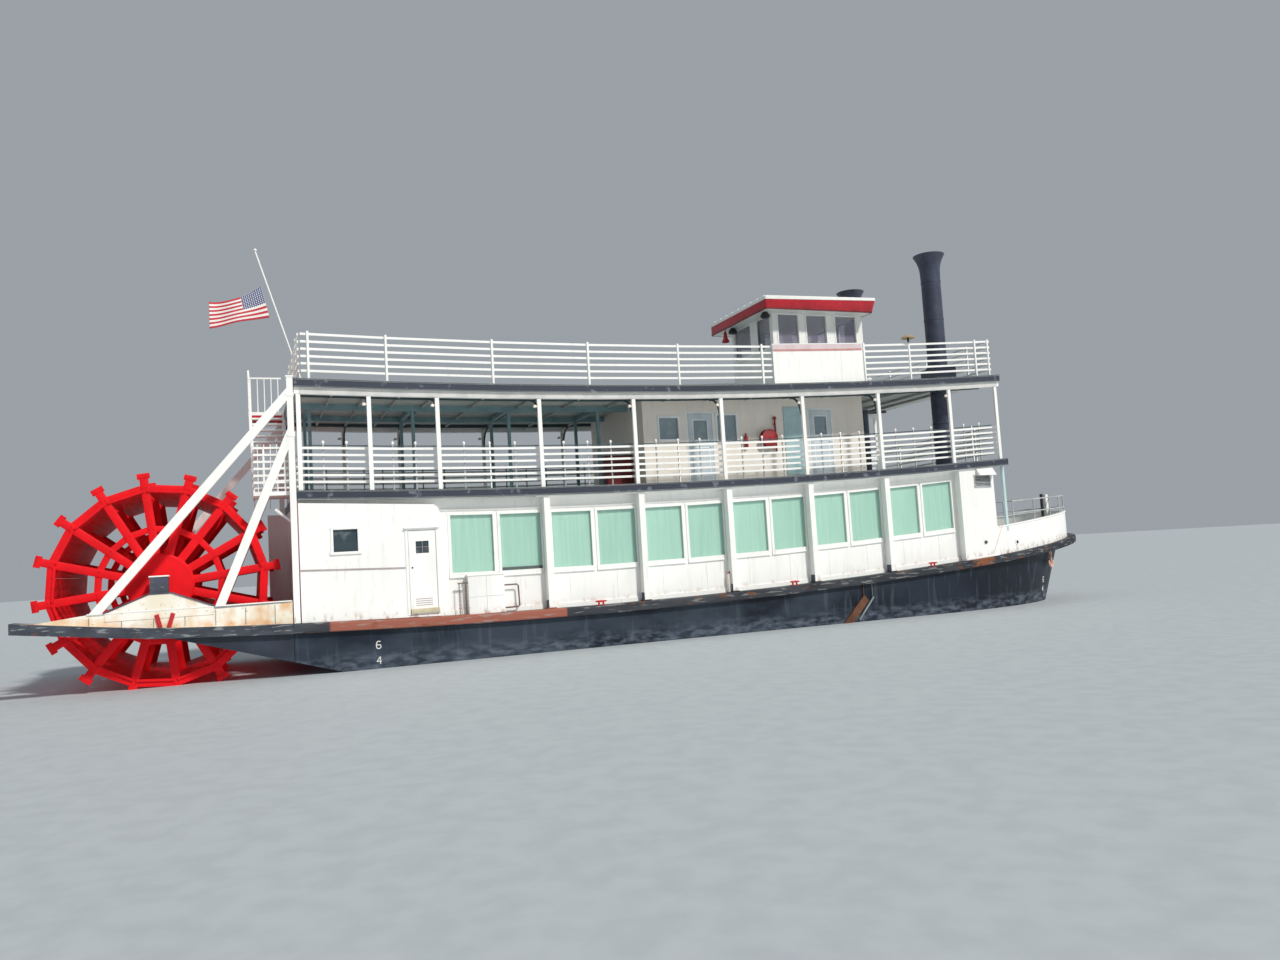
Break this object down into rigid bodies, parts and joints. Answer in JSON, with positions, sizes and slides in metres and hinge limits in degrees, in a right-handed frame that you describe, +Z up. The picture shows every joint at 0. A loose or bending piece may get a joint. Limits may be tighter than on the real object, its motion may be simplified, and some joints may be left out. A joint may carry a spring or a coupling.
{
  "type": "sternwheel paddle boat",
  "caption": "Flat-bottomed sternwheel excursion boat with a turning paddle wheel, rudders, saloon, open decks, pilothouse and twin stacks.",
  "frame": {"origin": "on the flat bottom of the hull, under the middle of the overall length and beam", "axes": "+X towards the bow, +Y to port, +Z up; the waterline is at Z 1.05 m"},
  "size_m": [31.7, 6.6, 12.3],
  "materials": {
    "hull_paint": "weathered satin",
    "rub_rail_grey": "scuffed matt",
    "outrigger_paint": "rust-stained satin",
    "bare_steel": "rough",
    "wheel_red": "gloss",
    "bearing_grey": "satin",
    "deck_edge_slate": "satin",
    "shade_mint": "matt",
    "stack_slate": "satin",
    "door_blue": "satin",
    "cabin_cream": "satin",
    "post_blue": "satin",
    "window_glass": "clear",
    "roof_red": "gloss",
    "flag_cloth": "woven",
    "house_white": "gloss"
  },
  "bodies": {
    "boat": {"bow_bulwark": "house_white", "bow_rail": "house_white", "engine": "bare_steel", "engine_room_aft_wall": "house_white", "engine_room_side_port": "house_white", "engine_room_side_starboard": "house_white", "flag": "flag_cloth", "flagstaff": "house_white", "hull": "hull_paint", "lower_columns_port": "house_white", "lower_columns_starboard": "house_white", "main_deck": "rub_rail_grey", "middle_girder": "post_blue", "outrigger_port": "outrigger_paint", "outrigger_starboard": "outrigger_paint", "pilothouse_glass": "window_glass", "pilothouse_port_wall": "house_white", "pilothouse_roof": "roof_red", "pilothouse_walls": "house_white", "saloon_front_wall": "house_white", "saloon_side_port": "house_white", "saloon_side_starboard": "house_white", "second_deck": "deck_edge_slate", "second_rail_bow": "house_white", "second_rail_port": "house_white", "second_rail_starboard": "house_white", "second_rail_stern": "house_white", "stack_port": "stack_slate", "stack_starboard": "stack_slate", "stern_stair": "house_white", "stern_stair_rail": "house_white", "stern_truss_port": "house_white", "stern_truss_starboard": "house_white", "sun_deck": "deck_edge_slate", "sun_rail_bow": "house_white", "sun_rail_port": "house_white", "sun_rail_starboard": "house_white", "sun_rail_stern": "house_white", "upper_cabin_aft_wall": "cabin_cream", "upper_cabin_fore_wall": "cabin_cream", "upper_cabin_side_port": "cabin_cream", "upper_cabin_side_starboard": "cabin_cream", "upper_columns_port": "house_white", "upper_columns_starboard": "house_white", "wheel_bearing_port": "bearing_grey", "wheel_bearing_starboard": "bearing_grey", "window_shade_port": "shade_mint", "window_shade_starboard": "shade_mint"},
    "wheel": {"paddle_wheel": "wheel_red"},
    "rudder_starboard": {"rudder_starboard": "bare_steel"},
    "rudder_port": {"rudder_port": "bare_steel"},
    "engine_room_door_starboard": {"engine_room_door_starboard": "house_white"},
    "engine_room_door_port": {"engine_room_door_port": "house_white"},
    "saloon_door_starboard": {"saloon_door_starboard": "door_blue"},
    "saloon_door_port": {"saloon_door_port": "door_blue"},
    "upper_cabin_door_aft_starboard": {"upper_cabin_door_aft_starboard": "door_blue"},
    "upper_cabin_door_aft_port": {"upper_cabin_door_aft_port": "door_blue"},
    "upper_cabin_door_fore_starboard": {"upper_cabin_door_fore_starboard": "door_blue"},
    "upper_cabin_door_fore_port": {"upper_cabin_door_fore_port": "door_blue"},
    "pilothouse_door": {"pilothouse_door": "house_white"}
  },
  "joints": [
    {"name": "wheel_spin", "type": "hinge", "parent": "boat", "child": "wheel", "pos_m": [-13.05, 0, 3.32], "axis": [0, 1, 0], "continuous": true},
    {"name": "rudder_starboard_turn", "type": "hinge", "parent": "boat", "child": "rudder_starboard", "pos_m": [-9.3, -1.4, 0.5], "axis": [0, 0, 1], "range_deg": [-35, 35]},
    {"name": "rudder_port_turn", "type": "hinge", "parent": "boat", "child": "rudder_port", "pos_m": [-9.3, 1.4, 0.5], "axis": [0, 0, 1], "range_deg": [-35, 35]},
    {"name": "engine_room_door_starboard_swing", "type": "hinge", "parent": "boat", "child": "engine_room_door_starboard", "pos_m": [-7.642, -3.212, 3.24], "axis": [0, 0, 1], "range_deg": [-95, 0]},
    {"name": "engine_room_door_port_swing", "type": "hinge", "parent": "boat", "child": "engine_room_door_port", "pos_m": [-7.642, 3.212, 3.24], "axis": [0, 0, 1], "range_deg": [0, 95]},
    {"name": "saloon_door_starboard_swing", "type": "hinge", "parent": "boat", "child": "saloon_door_starboard", "pos_m": [10.212, -0.842, 3.7], "axis": [0, 0, 1], "range_deg": [-95, 0]},
    {"name": "saloon_door_port_swing", "type": "hinge", "parent": "boat", "child": "saloon_door_port", "pos_m": [10.212, 0.842, 3.7], "axis": [0, 0, 1], "range_deg": [0, 95]},
    {"name": "upper_cabin_door_aft_starboard_swing", "type": "hinge", "parent": "boat", "child": "upper_cabin_door_aft_starboard", "pos_m": [0.438, -2.162, 6.3], "axis": [0, 0, 1], "range_deg": [-90, 0]},
    {"name": "upper_cabin_door_aft_port_swing", "type": "hinge", "parent": "boat", "child": "upper_cabin_door_aft_port", "pos_m": [0.438, 2.162, 6.3], "axis": [0, 0, 1], "range_deg": [0, 90]},
    {"name": "upper_cabin_door_fore_starboard_swing", "type": "hinge", "parent": "boat", "child": "upper_cabin_door_fore_starboard", "pos_m": [4.428, -2.162, 6.3], "axis": [0, 0, 1], "range_deg": [-90, 0]},
    {"name": "upper_cabin_door_fore_port_swing", "type": "hinge", "parent": "boat", "child": "upper_cabin_door_fore_port", "pos_m": [4.428, 2.162, 6.3], "axis": [0, 0, 1], "range_deg": [0, 90]},
    {"name": "pilothouse_door_swing", "type": "hinge", "parent": "boat", "child": "pilothouse_door", "pos_m": [4.742, 1.342, 9.06], "axis": [0, 0, 1], "range_deg": [-95, 0]}
  ],
  "couplings": [
    {"joint": "rudder_port_turn", "follows": "rudder_starboard_turn", "ratio": 1}
  ]
}
